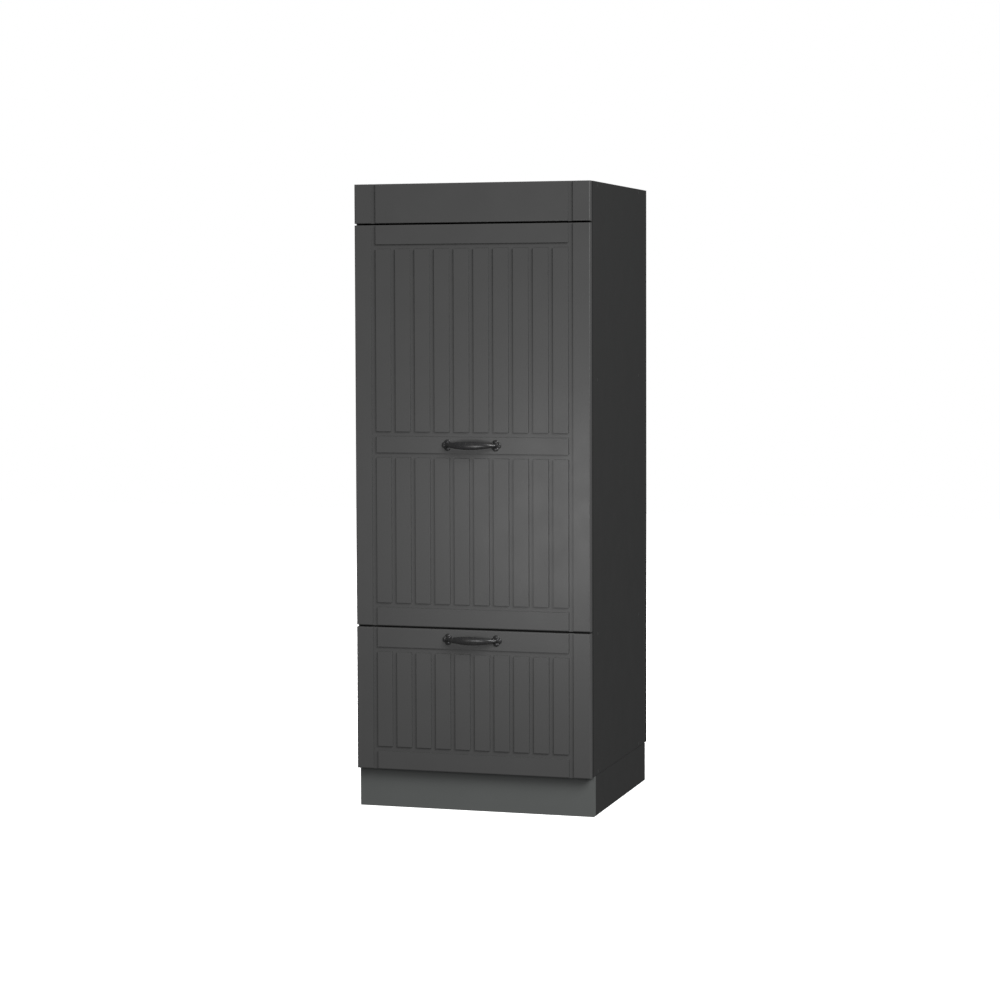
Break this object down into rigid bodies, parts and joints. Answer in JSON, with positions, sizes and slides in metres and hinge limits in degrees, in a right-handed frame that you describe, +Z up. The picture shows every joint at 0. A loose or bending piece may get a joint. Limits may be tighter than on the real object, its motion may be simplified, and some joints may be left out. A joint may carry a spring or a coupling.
{
  "type": "pantry cabinet",
  "caption": "Tall free-standing pantry cabinet with a hinged slatted door, a pull-out drawer below it, a fixed panel on top, bow handles, inner shelves and a recessed plinth.",
  "frame": {"origin": "on the floor, in the middle of the outer box with the handles included", "axes": "+Z up, -Y towards the person who opens the door, +X to the right seen from the front"},
  "size_m": [0.6, 0.597, 1.537],
  "materials": {
    "front_lacquer": "satin grey lacquer foil on milled fibreboard",
    "carcass_board": "fine-grained grey melamine on chipboard",
    "back_board": "painted hardboard",
    "drawer_board": "light grey melamine on chipboard",
    "plinth_foil": "satin grey foil on fibreboard",
    "handle_metal": "blackened antique casting, polished high spots",
    "nickel_steel": "nickel plated",
    "zinc_steel": "bright zinc plated",
    "ball_steel": "polished bearing steel",
    "cap_plastic": "matt",
    "clear_bumper": "soft translucent",
    "leg_plastic": "black, fine moulded texture",
    "dowel_wood": "raw fluted beech"
  },
  "bodies": {
    "cabinet": {"back_panel": "back_board", "bottom_board": "carcass_board", "cabinet_wood_screws": "zinc_steel", "carcass_screws": "zinc_steel", "centre_shelf": "carcass_board", "drawer_divider_shelf": "carcass_board", "hinge_arm_bottom": "nickel_steel", "hinge_arm_middle": "nickel_steel", "hinge_arm_top": "nickel_steel", "hinge_plate_bottom": "nickel_steel", "hinge_plate_middle": "nickel_steel", "hinge_plate_top": "nickel_steel", "leg_sockets": "leg_plastic", "levelling_feet": "leg_plastic", "loose_shelf_lower": "carcass_board", "loose_shelf_upper": "carcass_board", "plinth_clips": "leg_plastic", "plinth_front": "plinth_foil", "plinth_left": "carcass_board", "plinth_right": "carcass_board", "runner_outer_left": "zinc_steel", "runner_outer_right": "zinc_steel", "screw_cover_caps": "cap_plastic", "shelf_pins": "nickel_steel", "side_left": "carcass_board", "side_right": "carcass_board", "top_board": "carcass_board", "top_panel": "front_lacquer", "top_panel_brackets": "nickel_steel", "wall_brackets": "nickel_steel", "wood_dowels": "dowel_wood"},
    "door": {"door_panel": "front_lacquer", "door_handle_grip": "handle_metal", "door_handle_rosettes": "handle_metal", "door_handle_screws": "nickel_steel", "hinge_cup_top": "nickel_steel", "hinge_cup_middle": "nickel_steel", "hinge_cup_bottom": "nickel_steel", "hinge_pins": "nickel_steel", "hinge_cup_screws": "nickel_steel", "door_bumpers": "clear_bumper"},
    "runner_middle": {"runner_middle_left": "zinc_steel", "runner_middle_right": "zinc_steel", "runner_balls_left": "ball_steel", "runner_balls_right": "ball_steel"},
    "drawer": {"drawer_front": "front_lacquer", "drawer_side_left": "drawer_board", "drawer_side_right": "drawer_board", "drawer_inner_front": "drawer_board", "drawer_back": "drawer_board", "drawer_bottom": "back_board", "drawer_front_screws": "zinc_steel", "drawer_corner_screws": "zinc_steel", "drawer_bumpers": "clear_bumper", "drawer_handle_grip": "handle_metal", "drawer_handle_rosettes": "handle_metal", "drawer_handle_screws": "nickel_steel", "runner_inner_left": "zinc_steel", "runner_inner_right": "zinc_steel", "runner_drawer_screws": "zinc_steel"}
  },
  "joints": [
    {"name": "door_hinge", "type": "hinge", "parent": "cabinet", "child": "door", "pos_m": [-0.2922, -0.265, 0.945], "axis": [0, 0, -1], "range_deg": [0, 95]},
    {"name": "drawer_slide", "type": "slide", "parent": "cabinet", "child": "drawer", "axis": [0, -1, 0], "range_m": [0, 0.45]},
    {"name": "runner_slide", "type": "slide", "parent": "cabinet", "child": "runner_middle", "axis": [0, -1, 0], "range_m": [0, 0.225]}
  ],
  "couplings": [
    {"joint": "runner_slide", "follows": "drawer_slide", "ratio": 0.5}
  ]
}
